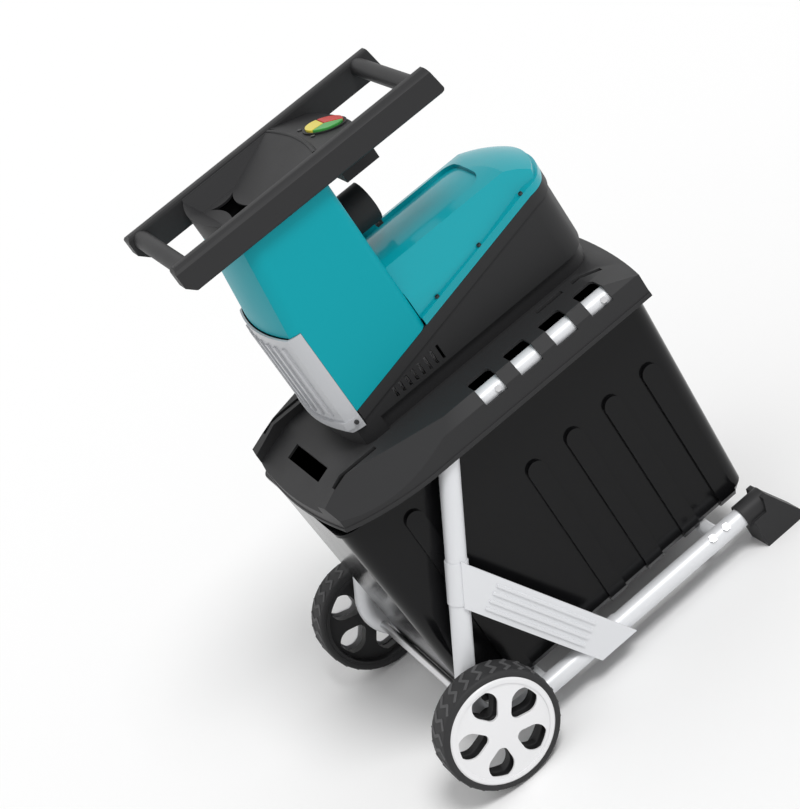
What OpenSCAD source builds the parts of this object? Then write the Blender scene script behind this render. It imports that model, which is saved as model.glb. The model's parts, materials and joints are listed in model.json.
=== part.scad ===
// Garden shredder on two wheels with a pull-out collection box.
// Millimetres, +Z up. X runs from the wheels to the feet, the pockets of the deck face both sides.
// Every height is measured from the ground, every X from the wheel axle, before the part is centred.

/* [Wheels and axle] */
// Diameter of the tyre
wheel_d = 170; // [160:1:180]
// Width of the tyre
tyre_w = 44; // [38:1:46]
// Distance between the outer faces of the two hubcaps
overall_w = 469; // [465:1:490]
// Diameter of the steel axle
axle_d = 12; // [10:1:14]
// Radial depth of the rubber tyre
tyre_depth = 10.5; // [8:0.5:13]
// Number of windows in the wheel and hubcap
wheel_windows = 5; // [4:1:7]

/* [Frame tubes] */
// Outer diameter of the bent frame tubes
tube_d = 28; // [24:1:30]
// Wall of the frame tubes
tube_wall = 2; // [1.5:0.5:3]
// Gap between a tyre and the frame tube beside it
wheel_gap = 4.5; // [3.5:0.5:6]
// Height of the base tube axis
base_z = 51; // [48:1:54]
// Bend radius of the tube axis
bend_r = 55; // [52:1:60]
// Lean of the legs from the vertical
leg_lean = 29.2; // [27:0.2:31]
// Height of the top rail axis under the deck
rail_z = 442; // [438:1:446]
// X of the end of the top rail
rail_end_x = 449; // [446:1:452]
// X of the end of the base tube, inside the foot
base_end_x = 474; // [468:1:478]
// Width of the gusset strap
gusset_w = 54; // [44:1:58]
// Height where the gusset strap meets the leg axis
gusset_leg_z = 263; // [255:1:270]
// X where the gusset strap meets the base tube
gusset_base_x = 189; // [180:1:200]
// Number of ribs along the gusset strap
gusset_ribs = 4; // [2:1:5]
// Diameter of the cross tubes
cross_d = 20; // [16:1:22]

/* [Feet] */
// Length of the foot collar along the base tube
foot_collar = 38; // [30:1:42]
// Width of the foot
foot_w = 44; // [38:1:48]
// How far the foot reaches past the end of the tube
foot_reach = 36; // [26:1:40]

/* [Deck tray] */
// How far the deck reaches past the tube planes
deck_lap = 20; // [19:0.5:24]
// Height of the lower edge of the deck
deck_low_z = 410; // [407:1:414]
// Height of the deck's shoulders
deck_top_z = 463; // [462:1:466]
// Height of the sunk seat that carries the housings
seat_z = 452; // [448:1:455]
// Wall of the deck
deck_wall = 3.5; // [2.5:0.5:4]
// X of the bowed wheel end of the deck
deck_x0 = -12; // [-16:1:-8]
// X of the bowed foot end of the deck
deck_x1 = 508; // [504:1:512]
// Number of pockets along each side
pockets = 4; // [2:1:4]
// Spacing of the pockets
pocket_step = 58.7; // [54:0.1:62]
// Width of one pocket
pocket_w = 35; // [28:1:40]
// X of the first pocket
pocket_x = 249; // [245:1:253]

/* [Collection box] */
// Length of the box at its rim
box_l = 500; // [490:1:504]
// Gap between the side of the box and each frame tube
box_gap = 10; // [7:0.5:16]
// Height of the floor of the box above the ground
box_floor_z = 62; // [60:1:64]
// Height of the rim of the box
box_rim_z = 404; // [390:1:406]
// Draft of the walls, from rim to floor on each side
box_draft = 13; // [8:1:16]
// Wall of the box
box_wall = 3; // [2:0.5:4]
// Corner radius of the box
box_corner = 26; // [18:1:34]
// Height of the ribs on the long walls
box_rib_h = 5; // [3:0.5:6]
// Width of one rib
box_rib_w = 27; // [20:1:32]
// Spacing of the ribs
box_rib_step = 66; // [60:1:70]
// Height of the rounded rib tops
box_rib_top = 312; // [290:1:330]

/* [Housings] */
// Half width of the hopper and of the lower housing
body_half_w = 94; // [92:1:98]
// Wall of the moulded housings
shell = 3; // [2.5:0.5:4]
// X of the wheel-side face of the hopper
hopper_x0 = 79; // [77:1:81]
// X of the foot-side face of the hopper
hopper_x1 = 247; // [244:1:250]
// Bow of the hopper's wheel-side face
hopper_bow = 14; // [10:1:16]
// Lean of the hopper's wheel-side face
hopper_lean = 7; // [5:0.5:8]
// X of the rounded end of the motor cover
motor_x1 = 504; // [500:1:508]
// Height of the top of the motor cover
motor_top_z = 628.5; // [626:0.5:631]
// Height of the parting line at the axle's X
part_z0 = 477; // [475:1:480]
// Slope of the parting line
part_slope = 12.7; // [11.5:0.1:13.5]
// X of the edge between the silver cover and the teal hopper
cover_x1 = 110; // [106:1:114]
// Height of the lower edge of the silver cover
cover_low_z = 479; // [475:1:483]
// Height of the top of the silver cover
cover_top_z = 634; // [626:1:642]
// Number of upright ribs across the silver cover
cover_ribs = 7; // [5:1:9]

/* [Top frame] */
// X of the wheel-side end of the rails
rail_x0 = 27; // [25:1:30]
// X of the foot-side end of the rails
rail_x1 = 430; // [426:1:434]
// Half width over the two rails
rail_half_w = 108; // [106:1:112]
// Thickness of a rail
rail_t = 24; // [20:1:26]
// Height of the rails' top
top_z = 806; // [803:1:810]
// Height of a rail
rail_h = 38; // [34:1:38]
// Diameter of the handle bars
bar_d = 24; // [20:1:28]
// X of the middle of the feed hole
feed_x = 148; // [145:1:151]
// Width of the feed hole across the machine
feed_w = 88; // [76:1:92]
// Length of the feed hole along the machine
feed_l = 38; // [34:1:42]
// X of the middle of the button cluster
cluster_x = 303; // [301:1:305]
// Radius of the button cluster
cluster_r = 25; // [22:1:26]
// Travel of the push buttons
button_travel = 3; // [2:0.5:3.5]

/* [Drive] */
// Height of the motor and roller axis
drive_z = 546; // [544:1:548]
// Module of the gears
gear_mod = 1.8; // [1.6:0.1:1.8]
// Teeth of the two pinions
pinion_teeth = 10; // [10:1:11]
// Teeth of the two large gears
wheel_teeth = 50; // [48:1:50]
// Outer diameter of the motor stator
stator_d = 122; // [114:1:124]
// Diameter of the cutter roller over its teeth
roller_d = 78; // [70:1:80]
// Number of tooth rows round the roller
roller_rows = 8; // [6:1:9]
// Distance of the pressure plate from the roller at rest
plate_gap = 8; // [7.5:0.5:10]
// Diameter of the adjusting knob
knob_d = 48; // [40:1:52]

/* [Hidden] */
$fn = 64;
// Fine gap between fitted faces, running gap of turning pieces, sliding gap of buttons
fit = 0.05;
run_gap = 0.06;
slide_gap = 0.4;
big = 2000;
eps = 0.01;
teal = [0, 0.64, 0.69];
black = [0.18, 0.18, 0.19];
gloss_black = [0.09, 0.09, 0.1];
silver = [0.88, 0.88, 0.9];
steel = [0.62, 0.63, 0.66];
rubber_black = [0.13, 0.13, 0.13];

// Placing: the part is centred on its overall length
foot_tip_x = base_end_x + foot_reach;
mid_x = (foot_tip_x - wheel_d / 2) / 2;
axle_z = wheel_d / 2;

// Frame: the lower bend goes through the axle, the leg leaves it at the lean
tube_r = tube_d / 2;
frame_y = overall_w / 2 - tyre_w - wheel_gap - tube_r;
bend_z = base_z + bend_r;
bend_x = sqrt(bend_r * bend_r - pow(bend_z - axle_z, 2));
leg_x0 = bend_x - bend_r * cos(leg_lean);
leg_z0 = bend_z + bend_r * sin(leg_lean);
function leg_x(z) = leg_x0 + (z - leg_z0) * tan(leg_lean);
top_turn = 90 - leg_lean;
top_cut = bend_r * tan(top_turn / 2);
top_bend_x = leg_x(rail_z) + top_cut;
leg_len = (rail_z - leg_z0) / cos(leg_lean) - top_cut;
bend_lap = 2;
bend_full = 0.4;
gusset_t = 3.5;
gusset_rib = 2.5;
collar_wall = 1.6;
cross_rear_x = 92;
cross_front_x = 397;
cross_z = box_floor_z - 0.3 - cross_d / 2;

// Wheels: hubcap, wheel body and tyre share one centre
wheel_out_y = overall_w / 2;
wheel_in_y = wheel_out_y - tyre_w;
tyre_in_r = wheel_d / 2 - tyre_depth;
hubcap_t = 4;
hub_r = 17;
hub_clear = 11.7;
window_out = 0.85;
window_wide = 0.245;
window_slim = 0.12;
spacer_r = 11;

// Deck: bowed ends, sides that draw in towards the wheel end
deck_half_w = frame_y + deck_lap;
deck_mid_x = (deck_x0 + deck_x1) / 2;
deck_end_half = frame_y - 22;
deck_bow = 14;
deck_bow_r = (deck_end_half * deck_end_half + deck_bow * deck_bow) / (2 * deck_bow);
deck_side_r = 250;
deck_side_x = 137;
deck_foot_bow = 20;
deck_foot_r = (deck_half_w * deck_half_w + deck_foot_bow * deck_foot_bow) / (2 * deck_foot_bow);
deck_end_z = 440;
deck_foot_z = 438;
deck_shoulder = 40;
deck_fascia_z = 447;
seat_half = 113;
groove_y = 126;
// Fall of the shoulders towards the wheel-side corners: plane through the ridge, steep across, gentle along
corner_ridge_x = 20;
corner_ridge_y = 121;
corner_rise = 0.33;
corner_fall = 0.9;
rail_gap = 0.3;
chute_x0 = 118;
chute_x1 = 226;
chute_half = 70;
hand_slot_x = 22;
hand_slot_w = 21;
hand_slot_half = 55;

// Box
box_w = 2 * (frame_y - tube_r - box_gap);
box_x0 = -6;
box_mid_x = box_x0 + box_l / 2;
box_h = box_rim_z - box_floor_z;
box_rim = 7;
box_rim_h = 5;

// Housings
hopper_top_z = top_z - rail_h;
function part_z(x) = part_z0 + x * tan(part_slope);
end_bow = 36;
end_r = (body_half_w * body_half_w + end_bow * end_bow) / (2 * end_bow);
housing_x0 = cover_x1 + 2;
hopper_corner = 12;
hopper_round = 32;
hopper_face_x = hopper_x0 + 5;
hopper_bow_r = (body_half_w * body_half_w + hopper_bow * hopper_bow) / (2 * hopper_bow);
part_flat_x = 452;
ledge_h = 11;
ledge_w = 8;
dome_half = 72;
dome_r = 220;
nose_x = motor_x1 - 138;
nose_flat = 53;
nose_r = 129;
plan_corner = 42;
recess_x1 = motor_x1 - 79;
recess_depth = 6;
plinth_h = 22;
plinth_in = 8;
seam = 0.4;
screw_d = 6;

// Top frame
rail_low_z = top_z - rail_h;
rail_in = rail_half_w - rail_t;
bar_z = top_z - bar_d / 2 - 1;
bar_rear_x = rail_x0 + 17;
bar_front_x = rail_x1 - 27;
funnel_x0 = 98;
funnel_x1 = 268;
funnel_floor = top_z - 23;
funnel_rear_sag = 17;
funnel_front_sag = 9;
ridge_w = 9;
web_t = 4;
console_x0 = funnel_x1 + seam;
console_x1 = 331;
console_top = top_z - 5;
console_tilt = 17;
console_sag = 18;
console_low = hopper_top_z - 38;
button_h = 9;
cluster_z = console_top - (cluster_x - console_x0) * tan(console_tilt);

// Drive
pinion_r = gear_mod * pinion_teeth / 2;
gear_r = gear_mod * wheel_teeth / 2;
centre_dist = pinion_r + gear_r;
// Angle of the line from the drive axis to the layshaft, seen along X
mesh_turn = -45;
lay_y = centre_dist * cos(mesh_turn);
lay_z = drive_z + centre_dist * sin(mesh_turn);
shaft_d = 25;
lay_d = 14;
rotor_d = 16;
wall_front_x = 106;
wall_back_x = 238;
housing_half = 78;
wall_t = 14;
roller_x0 = wall_front_x + wall_t + 2;
roller_x1 = wall_back_x - wall_t - 2;
out_gear_x = 243;
lay_gear_x = 266;
gear_w = 13;
plate_x = 286;
plate_t = 12;
stator_x0 = 326;
stator_x1 = 408;
rotor_core_d = 66;
air_gap = 0.5;
shield_x = 452;
fan_x = 432;
bearing_w = 12;
bearing_d = 47;
plate_back_t = 12;
saddle_h = 50;
cap_d = 34;
cap_y = 66;
cap_z = 495;
knob_x = (roller_x0 + roller_x1) / 2;

// Moves everything into the part's own frame
module place() {
  translate([-mid_x, 0, 0]) children();
}
// The copy on the far side
module far_side() {
  mirror([0, 1, 0]) children();
}
// Draws a Y-Z profile along X
module along_x(x, len) {
  translate([x, 0, 0]) rotate([90, 0, 90]) linear_extrude(len) children();
}
// Draws an X-Z profile along Y
module along_y(y, len) {
  translate([0, y + len, 0]) rotate([90, 0, 0]) linear_extrude(len) children();
}
// A round bar along X or along Y
module bar_x(x, y, z, len, d) {
  translate([x, y, z]) rotate([0, 90, 0]) cylinder(h = len, d = d);
}
module bar_y(x, y, z, len, d) {
  translate([x, y, z]) rotate([-90, 0, 0]) cylinder(h = len, d = d);
}
module rounded(w, h, r) {
  square([w - 2 * r, h], center = true);
  square([w, h - 2 * r], center = true);
  for (sx = [-1, 1], sy = [-1, 1]) {
    translate([sx * (w / 2 - r), sy * (h / 2 - r)]) circle(r = r);
  }
}

// Frame tubes: base tube, leg and top rail in one bent line, drawn solid at the given diameter
module tube_bend(x, z, from, turn, d) {
  translate([x, 0, z]) rotate([90, 0, 0]) rotate([0, 0, from])
    rotate_extrude(angle = turn) translate([bend_r, 0]) circle(d = d);
}
// Straight runs reach a little into the bends, which are a touch fuller
module tube_line(d, over) {
  bar_x(bend_x - bend_lap, 0, base_z, base_end_x - bend_x + bend_lap + over, d);
  translate([leg_x0, 0, leg_z0]) rotate([0, leg_lean, 0]) translate([0, 0, -bend_lap])
    cylinder(h = leg_len + 2 * bend_lap, d = d);
  bar_x(top_bend_x - bend_lap, 0, rail_z, rail_end_x - top_bend_x + bend_lap + over, d);
  tube_bend(bend_x, bend_z, 180 - leg_lean, 90 + leg_lean, d + bend_full);
  tube_bend(top_bend_x, rail_z - bend_r, 90, top_turn, d + bend_full);
}
module side_tube() {
  difference() {
    tube_line(tube_d, 0);
    tube_line(tube_d - 2 * tube_wall, 1);
    bar_y(0, -tube_d, axle_z, 2 * tube_d, axle_d + 2 * fit);
  }
}
module side_tube_near() {
  color(silver) place() translate([0, -frame_y, 0]) far_side() side_tube();
}
module side_tube_far() {
  color(silver) place() translate([0, frame_y, 0]) far_side() side_tube();
}

// Gusset strap with its sleeves on the leg and the base tube
gusset_x = leg_x(gusset_leg_z);
gusset_len = norm([gusset_base_x - gusset_x, base_z - gusset_leg_z]);
gusset_turn = atan2(base_z - gusset_leg_z, gusset_base_x - gusset_x);
module gusset_outline() {
  intersection() {
    translate([gusset_x, gusset_leg_z]) rotate(gusset_turn)
      translate([-gusset_w, -gusset_w / 2]) square([gusset_len + 2 * gusset_w, gusset_w]);
    translate([0, base_z - tube_r - collar_wall]) square([big, big]);
    translate([gusset_x, gusset_leg_z]) rotate(90 - leg_lean)
      translate([-big / 2, -big - collar_wall]) square([big, big + collar_wall + 1]);
  }
}
module gusset_rib_strip(i) {
  offset_i = (i - (gusset_ribs - 1) / 2) * gusset_w / (gusset_ribs + 1);
  translate([gusset_x, gusset_leg_z]) rotate(gusset_turn)
    translate([44, offset_i - 2]) square([gusset_len - 44 - 34, 4]);
}
module sleeve(len) {
  difference() {
    cylinder(h = len, d = tube_d + 2 * collar_wall, center = true);
    cylinder(h = len + 1, d = tube_d + 2 * fit, center = true);
  }
}
module gusset() {
  plate_y = -frame_y - tube_r - collar_wall - gusset_t + 1.4;
  difference() {
    union() {
      along_y(plate_y, gusset_t) gusset_outline();
      for (i = [0 : gusset_ribs - 1]) {
        along_y(plate_y - gusset_rib, gusset_rib + 1) gusset_rib_strip(i);
      }
      translate([gusset_base_x + 2, -frame_y, base_z]) rotate([0, 90, 0])
        cylinder(h = 54, d = tube_d + 2 * collar_wall, center = true);
      translate([gusset_x, -frame_y, gusset_leg_z]) rotate([0, leg_lean, 0])
        cylinder(h = 58, d = tube_d + 2 * collar_wall, center = true);
    }
    bar_x(0, -frame_y, base_z, big, tube_d + 2 * fit);
    translate([leg_x0, -frame_y, leg_z0]) rotate([0, leg_lean, 0])
      cylinder(h = leg_len, d = tube_d + 2 * fit);
  }
}
module gusset_near() {
  color(silver) place() gusset();
}
module gusset_far() {
  color(silver) place() far_side() gusset();
}

// Cross tubes, welded between the base tubes
module cross_tube(x) {
  difference() {
    bar_y(x, -frame_y, cross_z, 2 * frame_y, cross_d);
    bar_y(x, -frame_y - 1, cross_z, 2 * frame_y + 2, cross_d - 2 * tube_wall);
    for (s = [-1, 1]) {
      bar_x(0, s * frame_y, base_z, big, tube_d + 2 * fit);
    }
  }
}
module cross_tube_rear() {
  color(silver) place() cross_tube(cross_rear_x);
}
module cross_tube_front() {
  color(silver) place() cross_tube(cross_front_x);
}

// Axle with spacers and end caps
axle_half = wheel_out_y - hubcap_t - 6;
module axle() {
  color(steel) place() bar_y(0, -axle_half + 1.1, axle_z, 2 * axle_half - 2.2, axle_d);
}
module spacer() {
  difference() {
    bar_y(0, -wheel_in_y + 0.3, axle_z, wheel_in_y - frame_y - 0.3, 2 * spacer_r);
    bar_y(0, -big / 2, axle_z, big, axle_d + 2 * fit);
    translate([0, -frame_y, 0]) tube_core();
  }
}
module tube_core() {
  translate([bend_x, 0, bend_z]) rotate([90, 0, 0]) rotate([0, 0, 180 - leg_lean])
    rotate_extrude(angle = 90 + leg_lean) translate([bend_r, 0]) circle(d = tube_d + bend_full + 2 * fit);
}
module axle_spacers() {
  color(steel) place() {
    spacer();
    far_side() spacer();
  }
}
module axle_cap() {
  difference() {
    bar_y(0, -axle_half, axle_z, 5, 20);
    bar_y(0, -axle_half + 1, axle_z, 5, axle_d + 2 * fit);
  }
}
module axle_caps() {
  color(steel) place() {
    axle_cap();
    far_side() axle_cap();
  }
}

// Wheels
module tyre() {
  shoulder_r = 9;
  bar_half = tyre_w / 2 - 1;
  crown_r = tyre_in_r + tyre_depth;
  groove_w = 2.4;
  rotate_extrude($fn = 96) difference() {
    intersection() {
      translate([tyre_in_r, -bar_half]) square([tyre_depth, 2 * bar_half]);
      union() {
        translate([0, -bar_half + shoulder_r]) square([crown_r, 2 * (bar_half - shoulder_r)]);
        translate([0, -bar_half]) square([crown_r - shoulder_r, 2 * bar_half]);
        for (s = [-1, 1]) {
          translate([crown_r - shoulder_r, s * (bar_half - shoulder_r)]) circle(r = shoulder_r);
        }
      }
    }
    for (s = [-1, 0, 1]) {
      translate([crown_r - 2, s * 8 - groove_w / 2]) square([4, groove_w]);
    }
  }
}
module windows(r, grow) {
  wide_x = r * 0.64;
  wide_r = r * window_wide + grow;
  slim_x = r * 0.42;
  slim_r = r * window_slim + grow;
  lean = asin((wide_r - slim_r) / (wide_x - slim_x));
  sides = [[wide_x - wide_r * sin(lean), wide_r * cos(lean)], [slim_x - slim_r * sin(lean), slim_r * cos(lean)]];
  for (i = [0 : wheel_windows - 1]) {
    rotate(i * 360 / wheel_windows + 18) intersection() {
      circle(r = r * window_out + grow);
      union() {
        translate([wide_x, 0]) circle(r = wide_r, $fn = 48);
        translate([slim_x, 0]) circle(r = slim_r, $fn = 32);
        polygon([sides[0], sides[1], [sides[1][0], -sides[1][1]], [sides[0][0], -sides[0][1]]]);
      }
    }
  }
}
// Wheel body, drawn about Z with its outer face up
module wheel_body() {
  rim_t = 5;
  difference() {
    union() {
      difference() {
        translate([0, 0, -tyre_w / 2 + 1]) cylinder(h = tyre_w - hubcap_t - 1, r = tyre_in_r - fit);
        translate([0, 0, -tyre_w / 2]) cylinder(h = tyre_w, r = tyre_in_r - rim_t);
      }
      translate([0, 0, -9]) cylinder(h = 14, r = tyre_in_r - rim_t + 1);
      translate([0, 0, -tyre_w / 2]) cylinder(h = tyre_w - hubcap_t - hub_clear, r = hub_r);
    }
    translate([0, 0, -10]) linear_extrude(tyre_w) windows(tyre_in_r, 1);
    cylinder(h = big, d = axle_d + 2 * run_gap, center = true);
  }
}
module hubcap() {
  dome = 2;
  difference() {
    union() {
      translate([0, 0, tyre_w / 2 - hubcap_t]) cylinder(h = hubcap_t - 1.5, r = tyre_in_r - fit);
      translate([0, 0, tyre_w / 2 - 1.5 - eps])
        cylinder(h = 1.5, r1 = tyre_in_r - fit, r2 = tyre_in_r - 2);
    }
    translate([0, 0, -tyre_w]) linear_extrude(2 * tyre_w) windows(tyre_in_r, 0);
    translate([0, 0, tyre_w / 2 - dome]) difference() {
      cylinder(h = big, r = tyre_in_r * 0.9);
      cylinder(h = dome, r1 = tyre_in_r * 0.9, r2 = tyre_in_r * 0.25);
    }
  }
}
// Stands a wheel piece on the near axle end, its outer face towards -Y
module near_wheel() {
  place() translate([0, -wheel_out_y + tyre_w / 2, axle_z]) rotate([90, 0, 0]) children();
}
module far_wheel() {
  place() translate([0, wheel_out_y - tyre_w / 2, axle_z]) rotate([-90, 0, 0]) children();
}
module tyre_near() {
  color(rubber_black) near_wheel() tyre();
}
module wheel_near() {
  color(black) near_wheel() wheel_body();
}
module hubcap_near() {
  color(silver) near_wheel() hubcap();
}
module tyre_far() {
  color(rubber_black) far_wheel() tyre();
}
module wheel_far() {
  color(black) far_wheel() wheel_body();
}
module hubcap_far() {
  color(silver) far_wheel() hubcap();
}

// Feet: a collar on the tube end and a sole that slopes forward
module foot() {
  collar_d = tube_d + 8;
  x0 = base_end_x - foot_collar;
  difference() {
    union() {
      bar_x(x0, -frame_y, base_z, foot_collar + 4, collar_d);
      along_y(-frame_y - foot_w / 2, foot_w)
        polygon([[x0 + 6, 0], [foot_tip_x, 0], [foot_tip_x, 5], [base_end_x + 4, base_z + 14],
          [base_end_x - 4, base_z + 14], [base_end_x - 10, base_z - 6], [x0 + 6, base_z - 6]]);
    }
    bar_x(0, -frame_y, base_z, base_end_x, tube_d + 2 * fit);
    for (s = [-1, 1]) {
      translate([x0 + 6 + 5, -frame_y + s * foot_w / 4, -1])
        translate([0, -foot_w / 4 + 3, 0]) cube([foot_reach + foot_collar - 24, foot_w / 2 - 6, 9]);
    }
  }
}
module foot_near() {
  color(black) place() foot();
}
module foot_far() {
  color(black) place() far_side() foot();
}

// Bolts: two on each base tube, one in the first and last pocket of each side
bolt_d = 11;
bolt_h = 4;
module side_bolts() {
  for (x = [cross_front_x - 12, cross_front_x + 12]) {
    translate([x, -frame_y, base_z]) rotate([45, 0, 0]) translate([0, 0, tube_r - 1])
      cylinder(h = bolt_h + 1, d = bolt_d, $fn = 6);
  }
  for (i = [0, pockets - 1]) {
    translate([pocket_x + i * pocket_step + 8, -frame_y, rail_z]) rotate([70, 0, 0])
      translate([0, 0, tube_r - 1]) cylinder(h = bolt_h - 0.5, d = bolt_d - 2, $fn = 6);
  }
}
module bolts_seated() {
  difference() {
    side_bolts();
    translate([0, -frame_y, 0]) {
      bar_x(0, 0, base_z, big, tube_d + 2 * fit);
      bar_x(0, 0, rail_z, big, tube_d + 2 * fit);
    }
  }
}
module frame_bolts() {
  color(steel) place() {
    bolts_seated();
    far_side() bolts_seated();
  }
}

// Deck tray: an open shell of crowned form
module deck_plan(inset) {
  intersection() {
    translate([deck_x0 + deck_bow_r, 0]) circle(r = deck_bow_r - inset, $fn = 128);
    translate([deck_x1 - deck_foot_r, 0]) circle(r = deck_foot_r - inset, $fn = 128);
    union() {
      translate([deck_side_x, -deck_half_w + inset]) square([big, 2 * (deck_half_w - inset)]);
      intersection() {
        translate([deck_side_x, -deck_half_w + deck_side_r]) circle(r = deck_side_r - inset, $fn = 128);
        translate([deck_side_x, deck_half_w - deck_side_r]) circle(r = deck_side_r - inset, $fn = 128);
        translate([deck_side_x - big + eps, -big / 2]) square([big, big]);
      }
    }
  }
}
module deck_side_view(inset) {
  ramp = 52;
  polygon([[deck_x0 - 1, deck_low_z - 2 * inset], [deck_x0 - 1, deck_end_z - inset],
    [deck_x0 + ramp, deck_top_z - inset], [deck_x1 - 70, deck_top_z - inset],
    [deck_x1 + 1, deck_foot_z - inset], [deck_x1 + 1, deck_low_z - 2 * inset]]);
}
module deck_end_view(inset) {
  side = deck_half_w - inset;
  half = [[side, deck_low_z - 2 * inset], [side, deck_fascia_z - inset], [side - 12, deck_top_z - inset]];
  far = [for (i = [len(half) - 1 : -1 : 0]) [-half[i][0], half[i][1]]];
  polygon(concat(half, far));
}
// Everything under the falling corner plane of one side
module corner_plane(inset) {
  slant = norm([corner_rise, corner_fall, 1]);
  translate([corner_ridge_x, corner_ridge_y, deck_top_z - inset * slant])
    rotate([-asin(corner_fall / slant), -atan(corner_rise), 0])
      translate([-big, -big, -2 * big]) cube([2 * big, 2 * big, 2 * big]);
}
// The sunk seat, with a floor that falls to the wheel-side end
module seat_trough(inset) {
  along_y(-seat_half - inset, 2 * (seat_half + inset))
    polygon([[deck_x0 - 2, deck_end_z - 12 - inset], [deck_x0 + 70, seat_z - inset], [big, seat_z - inset],
      [big, big], [deck_x0 - 2, big]]);
}
module deck_form(inset) {
  difference() {
    intersection() {
      translate([0, 0, deck_low_z - 20]) linear_extrude(120) deck_plan(inset);
      along_y(-big / 2, big) deck_side_view(inset);
      along_x(-big / 2, big) deck_end_view(inset);
      corner_plane(inset);
      far_side() corner_plane(inset);
    }
    seat_trough(inset);
  }
}
module deck_side_cuts() {
  for (i = [0 : pockets - 1]) {
    translate([pocket_x + i * pocket_step, -deck_half_w - 1, rail_z - 1]) linear_extrude(60)
      rounded(pocket_w, 2 * deck_shoulder, 6);
  }
  for (x = [24, 366, 426]) {
    translate([x, -groove_y - 4.5, deck_low_z]) cube([x < 100 ? 74 : 44, 9, 100]);
  }
}
module deck_tray() {
  color(black) place() difference() {
    union() {
      difference() {
        deck_form(0);
        deck_form(deck_wall);
      }
      deck_posts();
    }
    for (s = [0, 1]) {
      mirror([0, s, 0]) deck_side_cuts();
    }
    translate([hand_slot_x, -hand_slot_half, deck_low_z]) cube([hand_slot_w, 2 * hand_slot_half, 100]);
    translate([chute_x0, -chute_half, deck_low_z]) cube([chute_x1 - chute_x0, 2 * chute_half, 100]);
    for (s = [-1, 1]) {
      bar_x(pocket_x, s * frame_y, rail_z, rail_end_x + 2 - pocket_x, tube_d + 2 * rail_gap);
    }
  }
}
// Saddles under the shoulders that sit on the top rails
module deck_posts() {
  for (s = [-1, 1], i = [0 : pockets - 2]) {
    x = pocket_x + (i + 0.5) * pocket_step;
    translate([x - 5, s * frame_y - 9, rail_z]) cube([10, 18, deck_top_z - 1 - rail_z]);
  }
}

// Collection box: drafted, rounded corners, ribs on the long walls
module box_form(grow) {
  low_l = box_l - 2 * box_draft;
  low_w = box_w - 2 * box_draft / 2;
  hull() {
    translate([box_mid_x, 0, box_rim_z - 1])
      linear_extrude(1) rounded(box_l + 2 * grow, box_w + 2 * grow, box_corner, $fn = 32);
    translate([box_mid_x, 0, box_floor_z + 10])
      linear_extrude(1) rounded(low_l + 2 * grow, low_w + 2 * grow, box_corner, $fn = 32);
    translate([box_mid_x, 0, box_floor_z])
      linear_extrude(1) rounded(low_l + 2 * grow - 16, low_w + 2 * grow - 16, box_corner - 8, $fn = 32);
  }
}
module box_rib(x, top) {
  translate([x - box_rib_w / 2, 0]) square([box_rib_w, top - box_rib_w / 2]);
  translate([x, top - box_rib_w / 2]) circle(d = box_rib_w, $fn = 32);
}
module box_ribs() {
  intersection() {
    box_form(box_rib_h);
    along_y(-big / 2, big) {
      for (i = [0 : 3]) {
        box_rib(247 + i * box_rib_step, box_rib_top);
      }
      box_rib(81, box_rib_top + 60);
    }
  }
}
module collection_box() {
  color(gloss_black) place() difference() {
    union() {
      box_form(0);
      box_ribs();
      translate([box_mid_x, 0, box_rim_z - box_rim_h])
        linear_extrude(box_rim_h) rounded(box_l + box_rim, box_w + box_rim, box_corner + 3, $fn = 32);
    }
    translate([0, 0, box_wall]) box_form(-box_wall);
    translate([box_mid_x, 0, box_rim_z - box_rim_h - 1]) linear_extrude(box_rim_h + 2)
      rounded(box_l - 2 * box_wall - 2, box_w - 2 * box_wall - 2, box_corner - 3, $fn = 32);
  }
}

// Half space above the parting line, moved up by rise
module part_area(rise, side) {
  level = part_z(part_flat_x) + rise;
  along_y(-big / 2, big)
    polygon([[-big / 4, part_z(-big / 4) + rise], [part_flat_x, level], [big / 2, level],
      [big / 2, side * big], [-big / 4, side * big]]);
}
module above_part(rise) {
  part_area(rise, 1);
}
module below_part(rise) {
  part_area(rise, -1);
}
// Plan of the motor end: straight sides and a bowed foot end
module motor_plan(x0, inset) {
  round_x = motor_x1 - end_r;
  mid_y = body_half_w - plan_corner;
  mid_x = sqrt(pow(end_r - plan_corner, 2) - mid_y * mid_y);
  intersection() {
    union() {
      translate([round_x + mid_x - big, -body_half_w + inset]) square([big, 2 * (body_half_w - inset)]);
      for (s = [-1, 1]) translate([round_x + mid_x, s * mid_y]) circle(r = plan_corner - inset, $fn = 64);
      intersection() {
        translate([round_x, 0]) circle(r = end_r - inset, $fn = 96);
        translate([round_x, 0]) polygon([[0, 0], [2 * mid_x, 2 * mid_y], [2 * mid_x, -2 * mid_y]]);
      }
    }
    translate([x0, -big / 2]) square([big, big]);
  }
}
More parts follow.
